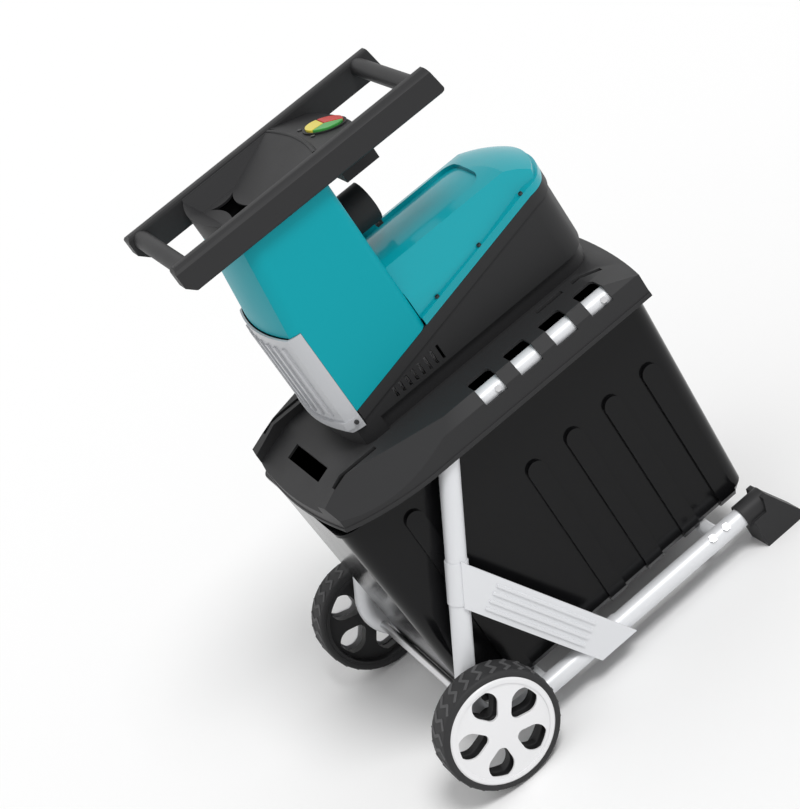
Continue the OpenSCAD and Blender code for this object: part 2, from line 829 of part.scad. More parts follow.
// Recessed base under the silver cover
module base_plan(inset) {
  intersection() {
    translate([4, 0]) hopper_plan(inset + 2.5);
    translate([0, -big / 2]) square([housing_x0 + 20, big]);
  }
}
module lower_housing() {
  step_drop = 16;
  vent_count = 8;
  inner = shell + 2.5;
  saddle_half = body_half_w - plinth_in - shell + 1;
  base_top = cover_low_z - seam;
  color(black) place() {
    difference() {
      union() {
        intersection() {
          union() {
            translate([0, 0, seat_z + fit]) linear_extrude(300) motor_plan(housing_x0, 2.5);
            above_part(-step_drop);
          }
          union() {
            translate([0, 0, seat_z + fit]) linear_extrude(300) motor_plan(housing_x0, plinth_in);
            translate([0, 0, seat_z + plinth_h]) linear_extrude(300) motor_plan(housing_x0, 0);
          }
          below_part(-seam / 2);
        }
        translate([0, 0, seat_z + fit]) linear_extrude(base_top - seat_z - fit) base_plan(0);
      }
      translate([0, 0, seat_z - 1]) linear_extrude(400) {
        motor_plan(housing_x0 + 10, plinth_in + shell);
        translate([0.5, 0]) base_plan(shell);
      }
      translate([0, 0, seat_z + plinth_h + shell]) linear_extrude(400) motor_plan(housing_x0 + 10, inner);
      for (i = [0 : vent_count - 1]) {
        translate([164 + i * 11, -big / 2, 479]) cube([4, big, 15 + i]);
      }
    }
    difference() {
      for (x = [stator_x0 + 8, stator_x1 - 14]) {
        translate([x, -saddle_half, seat_z + fit]) cube([6, 2 * saddle_half, saddle_h]);
      }
      bar_x(0, 0, drive_z, big, stator_d + 2 * fit);
      bar_x(0, cap_y, cap_z, big, cap_d + 2 * fit);
    }
  }
}
// Dome of the motor cover: an arch along X, leaning sides and a nose turned about an upright axis
module dome_nose(inset) {
  nose_z = motor_top_z - nose_r;
  translate([0, -big / 2, 400]) cube([nose_x, big, 400]);
  translate([nose_x, 0, 0]) rotate_extrude($fn = 128) intersection() {
    union() {
      translate([0, 400]) square([nose_flat, 400]);
      translate([0, 400]) square([nose_flat + nose_r - inset, nose_z - 400]);
      translate([nose_flat, nose_z]) circle(r = nose_r - inset, $fn = 128);
    }
    translate([0, 400]) square([big, 400]);
  }
}
module dome_arch(inset) {
  translate([0, 0, motor_top_z - dome_r]) rotate([0, 90, 0]) cylinder(h = big, r = dome_r - inset, $fn = 256);
}
module dome_end(inset) {
  low = 460;
  foot = dome_half + 15 - inset;
  side = dome_half - inset;
  peak = dome_half - 24 - inset;
  polygon([[-foot, low], [foot, low], [foot, 572], [side, 607], [peak, 663],
    [-peak, 663], [-side, 607], [-foot, 572]]);
}
module dome_form(inset) {
  intersection() {
    dome_nose(inset);
    along_x(0, big) dome_end(inset);
    dome_arch(inset);
    translate([0, 0, 400]) linear_extrude(400) motor_plan(0, 4 + inset);
  }
}
module motor_form(inset) {
  dome_form(inset * 1.6);
  intersection() {
    translate([0, 0, 400]) linear_extrude(400) motor_plan(0, inset);
    below_part(ledge_h - inset);
  }
}
// Shallow recess in the top of the dome, its floor arched like the top
module dome_recess(grow) {
  difference() {
    translate([recess_x1 - 110, 0, 500]) linear_extrude(300)
      rounded(220 + 2 * grow, 104 + 2 * grow, 24);
    dome_arch(recess_depth + grow);
  }
}
module motor_cover() {
  x0 = hopper_x1 + seam;
  color(teal) place() difference() {
    motor_form(0);
    difference() {
      motor_form(shell);
      dome_recess(shell);
    }
    below_part(seam / 2);
    translate([x0 - big, -big / 2, 0]) cube([big, big, big]);
    dome_recess(0);
  }
}
// Bowed and well rounded wheel-side end of the hopper, its face on the Y axis
module bowed_end(inset) {
  intersection() {
    translate([hopper_bow_r, 0]) circle(r = hopper_bow_r - inset, $fn = 128);
    translate([big / 2, 0]) rounded(big - 2 * inset, 2 * (body_half_w - inset), hopper_round - inset);
  }
}
module hopper_plan(inset) {
  depth = hopper_x1 - hopper_x0;
  intersection() {
    translate([hopper_x0, 0]) bowed_end(inset);
    translate([hopper_x1 - depth, 0])
      rounded(2 * (depth - inset), 2 * (body_half_w - inset), hopper_corner - inset);
  }
}
// Hopper: upright foot-side edges, the wheel-side face leans back above the silver cover
module hopper_form(inset) {
  depth = 2 * (hopper_x1 - hopper_x0);
  intersection() {
    translate([hopper_x1 - depth / 2, 0, 300]) linear_extrude(hopper_top_z - 300 + inset)
      rounded(depth - 2 * inset, 2 * (body_half_w - inset), hopper_corner - inset);
    translate([hopper_face_x, 0, cover_top_z]) rotate([0, hopper_lean, 0]) translate([0, 0, -big / 2])
      linear_extrude(big) bowed_end(inset);
  }
}
module cover_zone(gap) {
  translate([-big / 2, -big / 2, -big / 2])
    cube([big / 2 + cover_x1 + gap, big, big / 2 + cover_top_z + gap]);
}
module hopper_shell() {
  color(teal) place() difference() {
    hopper_form(0);
    hopper_form(shell);
    below_part(seam / 2);
    cover_zone(seam);
    translate([hopper_x1, 0, 0]) rotate([90, 0, 90]) linear_extrude(40, center = true)
      translate([0, drive_z - 1]) rounded(2 * dome_half - 34, 110, 10);
    bar_x(hopper_x1 - 20, 0, inlet_z, 40, inlet_d - 2 * inlet_wall);
    bar_y(knob_x, body_half_w - 20, drive_z, 40, knob_shaft + 1);
  }
}
// Silver cover round the wheel-side end of the cutter chamber
module cutter_cover() {
  rib_t = 3;
  skirt = 26;
  color(silver) place() difference() {
    union() {
      intersection() {
        translate([0, 0, cover_low_z]) linear_extrude(big) hopper_plan(0);
        cover_zone(0);
      }
      for (i = [0 : cover_ribs - 1]) {
        y = (i - (cover_ribs - 1) / 2) * 22;
        intersection() {
          translate([hopper_x0 - rib_t, y - 3, cover_low_z + skirt])
            cube([60, 6, cover_top_z - cover_low_z - skirt - 14]);
          translate([-rib_t, 0, 0]) linear_extrude(big) hopper_plan(0);
        }
      }
      intersection() {
        translate([-4, 0, cover_low_z + 6]) linear_extrude(12) hopper_plan(0);
        cover_zone(0);
      }
    }
    translate([0, 0, 300]) linear_extrude(big) hopper_plan(shell);
    for (s = [0, 1]) {
      mirror([0, s, 0]) bar_y(skirt_screw_x, skirt_screw_y, cover_low_z + 12, 20, screw_d + 2 * fit);
    }
  }
}
// Screws in the cover's ledge and the silver cover's skirt
module ledge_screw(x, y) {
  translate([x, y, part_z(x) + ledge_h + fit]) rotate([0, -part_slope, 0]) difference() {
    cylinder(h = 3, d = screw_d);
    translate([0, 0, 1.6]) cylinder(h = 3, d = 3.4, $fn = 6);
  }
}
skirt_screw_x = cover_x1 - 8;
skirt_screw_y = body_half_w - 2.5;
module cover_screws() {
  ledge_y = body_half_w - ledge_w / 2 + 0.5;
  color(steel) place() {
    for (s = [-1, 1], x = [280, 362, 444]) {
      ledge_screw(x, s * ledge_y);
    }
    for (s = [0, 1]) {
      mirror([0, s, 0])
        bar_y(skirt_screw_x, skirt_screw_y + fit, cover_low_z + 12, 5, screw_d);
    }
  }
}

// Top frame: two rails and the web that closes the hopper
module rail_side() {
  r = 7;
  slant = 6;
  intersection() {
    translate([(rail_x0 + rail_x1) / 2, (top_z + rail_low_z) / 2]) rounded(rail_x1 - rail_x0, rail_h, r);
    polygon([[rail_x0, rail_low_z + 12], [rail_x0 + 12, rail_low_z], [rail_x1, rail_low_z],
      [rail_x1, rail_low_z + 4], [rail_x1 - slant, top_z], [rail_x0, top_z]]);
  }
}
module rail(s) {
  slope = 6;
  intersection() {
    along_y(s > 0 ? rail_in : -rail_half_w, rail_t) rail_side();
    along_x(rail_x0 - 1, rail_x1 - rail_x0 + 2) mirror([s > 0 ? 0 : 1, 0])
      polygon([[rail_in, rail_low_z], [rail_half_w - 2, rail_low_z], [rail_half_w, rail_low_z + 2],
        [rail_half_w, top_z - slope], [rail_half_w - 4, top_z - 2], [rail_half_w - 10, top_z],
        [rail_in + 4, top_z], [rail_in + 1, top_z - 1.5], [rail_in, top_z - 5]]);
  }
}
// The rails are open below between the handle bars
module rail_hollow(s) {
  wall = 3;
  x0 = bar_rear_x + bar_d / 2 + 8;
  x1 = bar_front_x - bar_d / 2 - 8;
  translate([x0, s > 0 ? rail_in + wall : -rail_half_w + wall, rail_low_z - 1])
    cube([x1 - x0, rail_t - 2 * wall, rail_h - wall]);
}
module top_frame() {
  color(black) place() difference() {
    union() {
      for (s = [-1, 1]) {
        difference() {
          rail(s);
          rail_hollow(s);
        }
      }
      translate([funnel_x0 + 20, -rail_in - 1, hopper_top_z + fit])
        cube([console_x1 - console_sag - funnel_x0 - 20, 2 * rail_in + 2, web_t]);
      translate([0, 0, hopper_top_z + fit]) linear_extrude(web_t) funnel_plan(0);
    }
    for (x = [bar_rear_x, bar_front_x]) {
      bar_y(x, -rail_in - 8, bar_z, 2 * rail_in + 16, bar_d + 2 * fit);
    }
    translate([feed_x - chute_l / 2 - 1, -chute_w / 2 - 1, console_low])
      cube([chute_l + 2, chute_w + 2, 200]);
    translate([switch_x0 - slide_gap, -switch_half - slide_gap, console_low])
      cube([switch_l + 2 * slide_gap, 2 * (switch_half + slide_gap), 100]);
  }
}
module handle_bar(x) {
  bar_y(x, -rail_in - 8, bar_z, 2 * rail_in + 16, bar_d);
}
module handle_bar_rear() {
  color(black) place() handle_bar(bar_rear_x);
}
module handle_bar_front() {
  color(black) place() handle_bar(bar_front_x);
}
// Funnel insert with the star-shaped feed hole
chute_l = feed_l + 24;
chute_w = feed_w + 24;
chute_wall = 3;
module star() {
  long_sag = 10;
  short_sag = 11;
  long_r = (feed_w * feed_w / 4 + long_sag * long_sag) / (2 * long_sag);
  short_r = (feed_l * feed_l / 4 + short_sag * short_sag) / (2 * short_sag);
  difference() {
    square([feed_l, feed_w], center = true);
    for (s = [-1, 1]) {
      translate([s * (feed_l / 2 - long_sag + long_r), 0]) circle(r = long_r, $fn = 96);
      translate([0, s * (feed_w / 2 - short_sag + short_r)]) circle(r = short_r);
    }
  }
}
module funnel_plan(inset) {
  half = rail_in - slide_gap;
  rear_r = (half * half + funnel_rear_sag * funnel_rear_sag) / (2 * funnel_rear_sag);
  front_r = (half * half + funnel_front_sag * funnel_front_sag) / (2 * funnel_front_sag);
  intersection() {
    translate([funnel_x0 + rear_r, 0]) circle(r = rear_r - inset, $fn = 96);
    translate([funnel_x1 - front_r, 0]) circle(r = front_r - inset, $fn = 96);
    translate([funnel_x0, -half + inset]) square([funnel_x1 - funnel_x0, 2 * (half - inset)]);
  }
}
// The dished hollow from the rim down to the feed hole, grown by the sheet's thickness
module funnel_dish(grow) {
  margin = 7 + grow;
  hull() {
    translate([-ridge_w / 2 - 1, 0, top_z - 3]) linear_extrude(4) intersection() {
      funnel_plan(3 - grow, $fn = 48);
      translate([ridge_w, -big / 2]) square([big, big]);
    }
    translate([feed_x - feed_l / 2 - margin, -feed_w / 2 - margin, funnel_floor - grow])
      cube([feed_l + 2 * margin, feed_w + 2 * margin, 1]);
  }
}
module feed_funnel() {
  low_z = hopper_top_z + web_t + 2 * fit;
  sheet = 3;
  rim_z = top_z - 3;
  color(black) place() difference() {
    translate([0, 0, low_z]) linear_extrude(rim_z - low_z) funnel_plan(0);
    funnel_dish(0);
    translate([feed_x, 0, low_z - 1]) linear_extrude(100) star();
    difference() {
      translate([0, 0, low_z - 1]) linear_extrude(rim_z - sheet - low_z + 1) funnel_plan(sheet);
      funnel_dish(sheet);
    }
  }
}
module feed_chute() {
  top = hopper_top_z + web_t;
  low = drive_z + roller_d / 2 + 11.5 + fit;
  color(black) place() translate([feed_x, 0, 0]) difference() {
    union() {
      translate([-chute_l / 2, -chute_w / 2, low]) cube([chute_l, chute_w, top - low]);
      translate([wall_front_x + 1 - feed_x, -housing_half + 1, low])
        cube([wall_back_x - wall_front_x - 2, 2 * housing_half - 2, 4]);
    }
    translate([-chute_l / 2 + chute_wall, -chute_w / 2 + chute_wall, low - 1])
      cube([chute_l - 2 * chute_wall, chute_w - 2 * chute_wall, top - low + 2]);
  }
}
// Console: a plate that falls towards its bowed edge, the well of the cluster, the switch box below
switch_l = 52;
switch_x0 = cluster_x - switch_l / 2;
switch_half = 45;
box_skin = 3;
module console_plan(inset) {
  half = rail_in - slide_gap - inset;
  out_r = (half * half + console_sag * console_sag) / (2 * console_sag);
  ridge_r = (half * half + funnel_front_sag * funnel_front_sag) / (2 * funnel_front_sag);
  difference() {
    intersection() {
      translate([console_x1 - out_r, 0]) circle(r = out_r - inset, $fn = 96);
      translate([console_x0 - 20, -half]) square([big, 2 * half]);
    }
    translate([console_x0 - ridge_r, 0]) circle(r = ridge_r + inset, $fn = 96);
  }
}
module console_slab(low, drop, inset) {
  x0 = console_x0 - 20;
  x1 = console_x1 + 1;
  fall = tan(console_tilt);
  intersection() {
    translate([0, 0, low]) linear_extrude(100) console_plan(inset);
    along_y(-big / 2, big)
      polygon([[x0, low - 1], [x0, console_top + 20 * fall - drop],
        [x1, console_top - (x1 - console_x0) * fall - drop], [x1, low - 1]]);
  }
}
// Frame of the cluster: its own origin on the plate, its axis square to the plate
module on_cluster() {
  translate([cluster_x, 0, cluster_z]) rotate([0, console_tilt, 0]) children();
}
module switch_console() {
  low_z = hopper_top_z + web_t + 2 * fit;
  color(black) place() difference() {
    union() {
      console_slab(low_z, 0, 0);
      on_cluster() translate([0, 0, -8]) cylinder(h = 10, r = cluster_r + 4);
      translate([switch_x0, -switch_half, console_low])
        cube([switch_l, 2 * switch_half, low_z - console_low + 1]);
    }
    difference() {
      console_slab(low_z - 1, box_skin, box_skin);
      on_cluster() translate([0, 0, -big / 2]) cylinder(h = big, r = cluster_r + 4);
    }
    translate([switch_x0 + box_skin, -switch_half + box_skin, console_low + box_skin])
      cube([switch_l - 2 * box_skin, 2 * (switch_half - box_skin), low_z - console_low - box_skin]);
    on_cluster() translate([0, 0, -60]) cylinder(h = 100, r = cluster_r - 2.5);
    on_cluster() translate([0, 0, 2 - button_h - button_travel]) cylinder(h = 100, r = cluster_r + slide_gap);
  }
}
module switch_module() {
  color(black) place() {
    translate([switch_x0 + box_skin + fit, -24, console_low + box_skin + fit])
      cube([switch_l - 2 * box_skin - 2 * fit, 48, 28]);
    on_cluster() translate([0, 0, -38]) cylinder(h = 38 - button_h - button_travel + 1.5, r = cluster_r - 7);
  }
}
// One sector of the round cluster, with a plunger down to the switch
module sector_button(turn) {
  place() on_cluster() {
    translate([0, 0, 2 - button_h + 3]) linear_extrude(button_h) intersection() {
      circle(r = cluster_r);
      rotate(turn) translate([0.8, 0]) polygon([[0, 0], [50, -86.6], [90, 0], [50, 86.6]]);
    }
  }
}
module start_button() {
  color([0.25, 0.65, 0.3]) sector_button(270);
}
module stop_button() {
  color([0.8, 0.15, 0.12]) sector_button(30);
}
module reverse_button() {
  color([0.95, 0.85, 0.25]) sector_button(150);
}
module console_screws() {
  color(steel) place() {
    for (s = [-1, 1]) {
      on_cluster() translate([-cluster_r - 1, s * (cluster_r - 2), fit]) cylinder(h = 1.4, d = 6);
    }
  }
}

// Mains inlet on the foot-side face of the hopper
inlet_z = hopper_top_z - 92;
inlet_d = 58;
inlet_wall = 3;
inlet_len = 48;
module inlet_shroud() {
  base = 10;
  color(black) place() difference() {
    union() {
      bar_x(hopper_x1 + fit, 0, inlet_z, inlet_len, inlet_d);
      bar_x(hopper_x1 - 8, 0, inlet_z, 10, inlet_d - 2 * inlet_wall - 2 * fit);
      translate([hopper_x1 + inlet_len - 9, 0, inlet_z - inlet_d / 2 - 7]) {
        translate([0, -5, 0]) cube([9, 10, 12]);
      }
    }
    bar_x(hopper_x1 + base, 0, inlet_z, inlet_len, inlet_d - 2 * inlet_wall);
    bar_y(hopper_x1 + inlet_len - 4.5, -10, inlet_z - inlet_d / 2 - 3, 20, 4);
  }
}
module inlet_pins() {
  color(steel) place() {
    for (a = [90, 210, 330]) {
      bar_x(hopper_x1 + 10 + fit, 11 * cos(a), inlet_z + 11 * sin(a), 22, 5);
    }
  }
}

// Cutter housing: front and back walls with bearing seats, two side walls
knob_shaft = 12;
module cutter_housing() {
  top = drive_z + roller_d / 2 + 11.5;
  low = seat_z + fit;
  color(steel) place() difference() {
    translate([wall_front_x, -housing_half, low])
      cube([wall_back_x - wall_front_x, 2 * housing_half, top - low]);
    translate([wall_front_x + wall_t, -chute_half, low - 1])
      cube([wall_back_x - wall_front_x - 2 * wall_t, 2 * chute_half, 300]);
    bar_x(0, 0, drive_z, big, shaft_d + 4);
    bar_x(wall_front_x + 2, 0, drive_z, bearing_w, bearing_d + 2 * fit);
    bar_x(wall_back_x - bearing_w - 2, 0, drive_z, bearing_w + 10, bearing_d + 2 * fit);
    bar_x(wall_back_x - 8, lay_y, lay_z, 20, lay_d + 2 * run_gap);
    bar_y(knob_x, chute_half - 5, drive_z, 30, knob_shaft + 2 * run_gap);
  }
}
module bearing(x) {
  difference() {
    bar_x(x, 0, drive_z, bearing_w, bearing_d);
    bar_x(x - 1, 0, drive_z, bearing_w + 2, shaft_d + 2 * run_gap);
  }
}
module front_bearing() {
  color(steel) place() bearing(wall_front_x + 2);
}
module rear_bearing() {
  color(steel) place() bearing(wall_back_x - bearing_w - 2);
}
// Roller: a drum with rows of hooked teeth set along a screw line
module cutter_roller() {
  drum_r = roller_d / 2 - 9;
  len = roller_x1 - roller_x0;
  rings = 5;
  tooth_w = len / rings;
  color([0.35, 0.36, 0.38]) place() difference() {
    union() {
      bar_x(roller_x0, 0, drive_z, len, 2 * drum_r);
      for (k = [0 : rings - 1]) {
        translate([0, 0, drive_z]) along_x(roller_x0 + k * tooth_w, tooth_w)
          rotate(k * 360 / roller_rows / rings) roller_ring(drum_r);
      }
    }
    bar_x(0, 0, drive_z, big, shaft_d);
  }
}
module roller_ring(drum_r) {
  tip = roller_d / 2;
  pitch = 360 / roller_rows;
  for (i = [0 : roller_rows - 1]) {
    rotate(i * pitch) polygon([[drum_r - 2, -4], [tip, 2], [tip - 0.6, 6], [drum_r - 1, 11]]);
  }
}
module roller_shaft() {
  color(steel) place() bar_x(wall_front_x + 2, 0, drive_z, out_gear_x + gear_w - wall_front_x - 2, shaft_d);
}
// Pressure plate, guided by the housing, with a nut boss for the screw
plate_y = roller_d / 2 + plate_gap;
module pressure_plate() {
  tooth = 5;
  len = roller_x1 - roller_x0;
  half = roller_d / 2;
  color([0.45, 0.46, 0.48]) place() difference() {
    union() {
      translate([roller_x0 + 1, plate_y, drive_z - half]) cube([len - 2, plate_back_t, 2 * half]);
      bar_y(knob_x, plate_y + plate_back_t - 1, drive_z, 8, 26);
    }
    for (i = [0 : 9]) {
      translate([roller_x0, plate_y, drive_z - half + 4 + i * 8]) rotate([45, 0, 0])
        cube([len, tooth, tooth], center = false);
    }
    bar_y(knob_x, plate_y + 3, drive_z, 60, knob_shaft + 2 * run_gap);
  }
}
// Adjusting knob with its screw, held by the hopper wall
module adjusting_knob() {
  lobes = 8;
  face_y = body_half_w + slide_gap;
  depth = 22;
  color(black) place() {
    bar_y(knob_x, plate_y + 5, drive_z, face_y - plate_y - 4, knob_shaft);
    translate([knob_x, face_y + depth, drive_z]) rotate([90, 0, 0]) linear_extrude(depth) difference() {
      circle(d = knob_d);
      for (i = [0 : lobes - 1]) {
        rotate(i * 360 / lobes) translate([knob_d / 2 + 4, 0]) circle(r = 7, $fn = 32);
      }
    }
  }
}

// Gears: involute flanks, stub tips on the large gears
function inv_point(base_r, r, turn) =
  let (a = acos(min(1, base_r / r)), t = tan(a) * 180 / PI - a) [r * cos(turn + t), r * sin(turn + t)];
module gear_outline(teeth, tip_factor) {
  pitch_r = gear_mod * teeth / 2;
  base_r = pitch_r * cos(20);
  tip_r = pitch_r + gear_mod * tip_factor;
  root_r = pitch_r - gear_mod * 1.25;
  low_r = max(base_r, root_r);
  play = 0.16;
  at_pitch = tan(20) * 180 / PI - 20;
  half = 90 / teeth - play / pitch_r * 90 / PI;
  radii = [low_r, (low_r + pitch_r) / 2, pitch_r, tip_r];
  for (i = [0 : teeth - 1]) {
    rotate(i * 360 / teeth) polygon(concat(
      [[(root_r - 0.5) * cos(half + at_pitch), -(root_r - 0.5) * sin(half + at_pitch)]],
      [for (r = radii) inv_point(base_r, r, -half - at_pitch)],
      [for (k = [3 : -1 : 0]) let (p = inv_point(base_r, radii[k], -half - at_pitch)) [p[0], -p[1]]],
      [[(root_r - 0.5) * cos(half + at_pitch), (root_r - 0.5) * sin(half + at_pitch)]]));
  }
  circle(r = root_r);
}
pinion_tip = 0.9;
gear_tip = 0.6;
module output_gear() {
  color(steel) place() translate([0, 0, drive_z]) along_x(out_gear_x, gear_w) difference() {
    rotate(mesh_turn + 180 / wheel_teeth) gear_outline(wheel_teeth, gear_tip);
    circle(d = shaft_d);
  }
}
module layshaft_gear() {
  color(steel) place() translate([0, lay_y, lay_z]) {
    along_x(lay_gear_x, gear_w)
      rotate(mesh_turn + 180 + 180 / wheel_teeth) gear_outline(wheel_teeth, gear_tip);
    along_x(out_gear_x - 1, gear_w + 2)
      rotate(mesh_turn + 180) gear_outline(pinion_teeth, pinion_tip);
    bar_x(wall_back_x - 7, 0, 0, plate_x + 8 - wall_back_x + 7, lay_d);
  }
}
// Plate between the gears and the motor
module gear_plate() {
  foot_low = seat_z + fit;
  color(steel) place() difference() {
    union() {
      bar_x(plate_x, 0, drive_z, plate_t, 2 * (centre_dist + 8) - 30);
      bar_x(plate_x, lay_y, lay_z, plate_t, 34);
      translate([plate_x, -60, foot_low]) cube([plate_t, 120, drive_z - 26 - foot_low]);
    }
    bar_x(plate_x - 1, 0, drive_z, plate_t + 2, rotor_d + 2 * run_gap);
    bar_x(plate_x - 1, lay_y, lay_z, 10, lay_d + 2 * run_gap);
  }
}
// Motor
module motor_stator() {
  color([0.55, 0.33, 0.2]) place() difference() {
    union() {
      bar_x(stator_x0, 0, drive_z, stator_x1 - stator_x0, stator_d);
      bar_x(stator_x0 - 16, 0, drive_z, stator_x1 - stator_x0 + 32, stator_d - 18);
    }
    bar_x(0, 0, drive_z, big, rotor_core_d + 2 * air_gap);
  }
}
module motor_rotor() {
  pinion_x = lay_gear_x - 1;
  color(steel) place() {
    translate([0, 0, drive_z]) along_x(pinion_x, gear_w + 2)
      rotate(mesh_turn) gear_outline(pinion_teeth, pinion_tip);
    bar_x(pinion_x + gear_w + 1, 0, drive_z, shield_x + 12 - pinion_x - gear_w - 1, rotor_d);
    bar_x(stator_x0 + 4, 0, drive_z, stator_x1 - stator_x0 - 8, rotor_core_d);
  }
}
module end_shield() {
  color(steel) place() difference() {
    union() {
      bar_x(shield_x, 0, drive_z, 10, 60);
      translate([shield_x, -48, seat_z + fit]) cube([10, 96, drive_z - 20 - seat_z]);
    }
    bar_x(shield_x + 2, 0, drive_z, 20, 35 + 2 * fit);
    bar_x(shield_x - 1, 0, drive_z, 20, rotor_d + 4);
  }
}
module rotor_bearing() {
  color(steel) place() difference() {
    bar_x(shield_x + 2, 0, drive_z, 8, 35);
    bar_x(shield_x, 0, drive_z, 20, rotor_d + 2 * run_gap);
  }
}
module cooling_fan() {
  blades = 9;
  color(black) place() translate([0, 0, drive_z]) along_x(fan_x, 14) difference() {
    union() {
      circle(r = 16);
      for (i = [0 : blades - 1]) {
        rotate(i * 360 / blades) translate([8, -1.5]) square([42, 3]);
      }
    }
    circle(d = rotor_d);
  }
}
module capacitor() {
  color([0.8, 0.8, 0.82]) place() bar_x(stator_x0 - 10, cap_y, cap_z, 96, cap_d);
}

side_tube_near();
side_tube_far();
gusset_near();
gusset_far();
cross_tube_rear();
cross_tube_front();
axle();
axle_spacers();
axle_caps();
foot_near();
foot_far();
frame_bolts();
tyre_near();
wheel_near();
hubcap_near();
tyre_far();
wheel_far();
hubcap_far();
deck_tray();
collection_box();
lower_housing();
motor_cover();
hopper_shell();
cutter_cover();
cover_screws();
top_frame();
handle_bar_rear();
handle_bar_front();
feed_funnel();
feed_chute();
switch_console();
switch_module();
start_button();
stop_button();
reverse_button();
console_screws();
inlet_shroud();
inlet_pins();
cutter_housing();
cutter_roller();
roller_shaft();
front_bearing();
rear_bearing();
pressure_plate();
adjusting_knob();
output_gear();
layshaft_gear();
gear_plate();
motor_stator();
motor_rotor();
rotor_bearing();
end_shield();
cooling_fan();
capacitor();
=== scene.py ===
"""Looks of a wheeled garden shredder: finishes, softened mouldings, tyre treads, lights and camera."""

import json
import math

import bmesh
import bpy
from mathutils import Matrix, Vector
from mathutils.geometry import convex_hull_2d


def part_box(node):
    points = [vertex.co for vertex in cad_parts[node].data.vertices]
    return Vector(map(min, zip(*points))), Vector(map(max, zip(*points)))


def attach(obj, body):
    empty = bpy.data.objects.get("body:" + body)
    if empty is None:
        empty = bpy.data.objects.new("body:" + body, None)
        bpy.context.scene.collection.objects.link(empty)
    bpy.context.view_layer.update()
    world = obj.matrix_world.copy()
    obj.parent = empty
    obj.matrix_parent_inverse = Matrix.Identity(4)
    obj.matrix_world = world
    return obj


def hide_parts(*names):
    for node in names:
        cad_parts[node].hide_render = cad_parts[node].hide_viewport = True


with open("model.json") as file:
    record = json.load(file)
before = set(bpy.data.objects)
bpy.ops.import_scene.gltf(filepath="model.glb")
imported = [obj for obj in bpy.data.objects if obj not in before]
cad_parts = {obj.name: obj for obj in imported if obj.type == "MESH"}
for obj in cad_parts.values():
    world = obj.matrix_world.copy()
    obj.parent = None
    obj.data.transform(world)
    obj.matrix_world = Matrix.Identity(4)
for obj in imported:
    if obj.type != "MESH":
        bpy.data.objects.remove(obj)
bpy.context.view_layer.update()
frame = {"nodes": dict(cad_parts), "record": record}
cad = frame["nodes"]
bodies = frame["record"]["behaviour"]["bodies"]
body_of = {node: body for body, members in bodies.items() for node in members}
slot_of = {part["node"]: part["material_slot"] for part in frame["record"]["subparts"]}

MM = 0.001


# Finishes

PEBBLE_DETAIL = 2.0
PEBBLE_RELIEF = 0.3 * MM
MOTTLE_SCALE = 22.0
MOTTLE_DETAIL = 3.0
COAT_ROUGHNESS = 0.12


def new_group(name, inputs, outputs):
    """An empty shader group with named float inputs and named outputs."""
    group = bpy.data.node_groups.new(name, "ShaderNodeTree")
    for label, value in inputs:
        socket = group.interface.new_socket(label, in_out="INPUT", socket_type="NodeSocketFloat")
        socket.default_value = value
    for label, kind in outputs:
        group.interface.new_socket(label, in_out="OUTPUT", socket_type=kind)
    return group, group.nodes.new("NodeGroupInput"), group.nodes.new("NodeGroupOutput")


def moulded_grain():
    """Fine pebbled grain of a moulding tool, and a faint mottle for its gloss."""
    group, given, out = new_group(
        "moulded_grain",
        [("Grain", 900.0), ("Depth", 0.1), ("Gloss", 0.45), ("Spread", 0.1)],
        [("Normal", "NodeSocketVector"), ("Roughness", "NodeSocketFloat")],
    )
    nodes, links = group.nodes, group.links
    coordinates = nodes.new("ShaderNodeTexCoord")
    pebble = nodes.new("ShaderNodeTexNoise")
    pebble.inputs["Detail"].default_value = PEBBLE_DETAIL
    bump = nodes.new("ShaderNodeBump")
    bump.inputs["Distance"].default_value = PEBBLE_RELIEF
    mottle = nodes.new("ShaderNodeTexNoise")
    mottle.inputs["Scale"].default_value = MOTTLE_SCALE
    mottle.inputs["Detail"].default_value = MOTTLE_DETAIL
    centred = nodes.new("ShaderNodeMath")
    centred.operation = "SUBTRACT"
    centred.inputs[1].default_value = 0.5
    gloss = nodes.new("ShaderNodeMath")
    gloss.operation = "MULTIPLY_ADD"
    links.new(coordinates.outputs["Object"], pebble.inputs["Vector"])
    links.new(coordinates.outputs["Object"], mottle.inputs["Vector"])
    links.new(given.outputs["Grain"], pebble.inputs["Scale"])
    links.new(pebble.outputs["Fac"], bump.inputs["Height"])
    links.new(given.outputs["Depth"], bump.inputs["Strength"])
    links.new(bump.outputs["Normal"], out.inputs["Normal"])
    links.new(mottle.outputs["Fac"], centred.inputs[0])
    links.new(centred.outputs[0], gloss.inputs[0])
    links.new(given.outputs["Spread"], gloss.inputs[1])
    links.new(given.outputs["Gloss"], gloss.inputs[2])
    links.new(gloss.outputs[0], out.inputs["Roughness"])
    return group


GRAIN = moulded_grain()


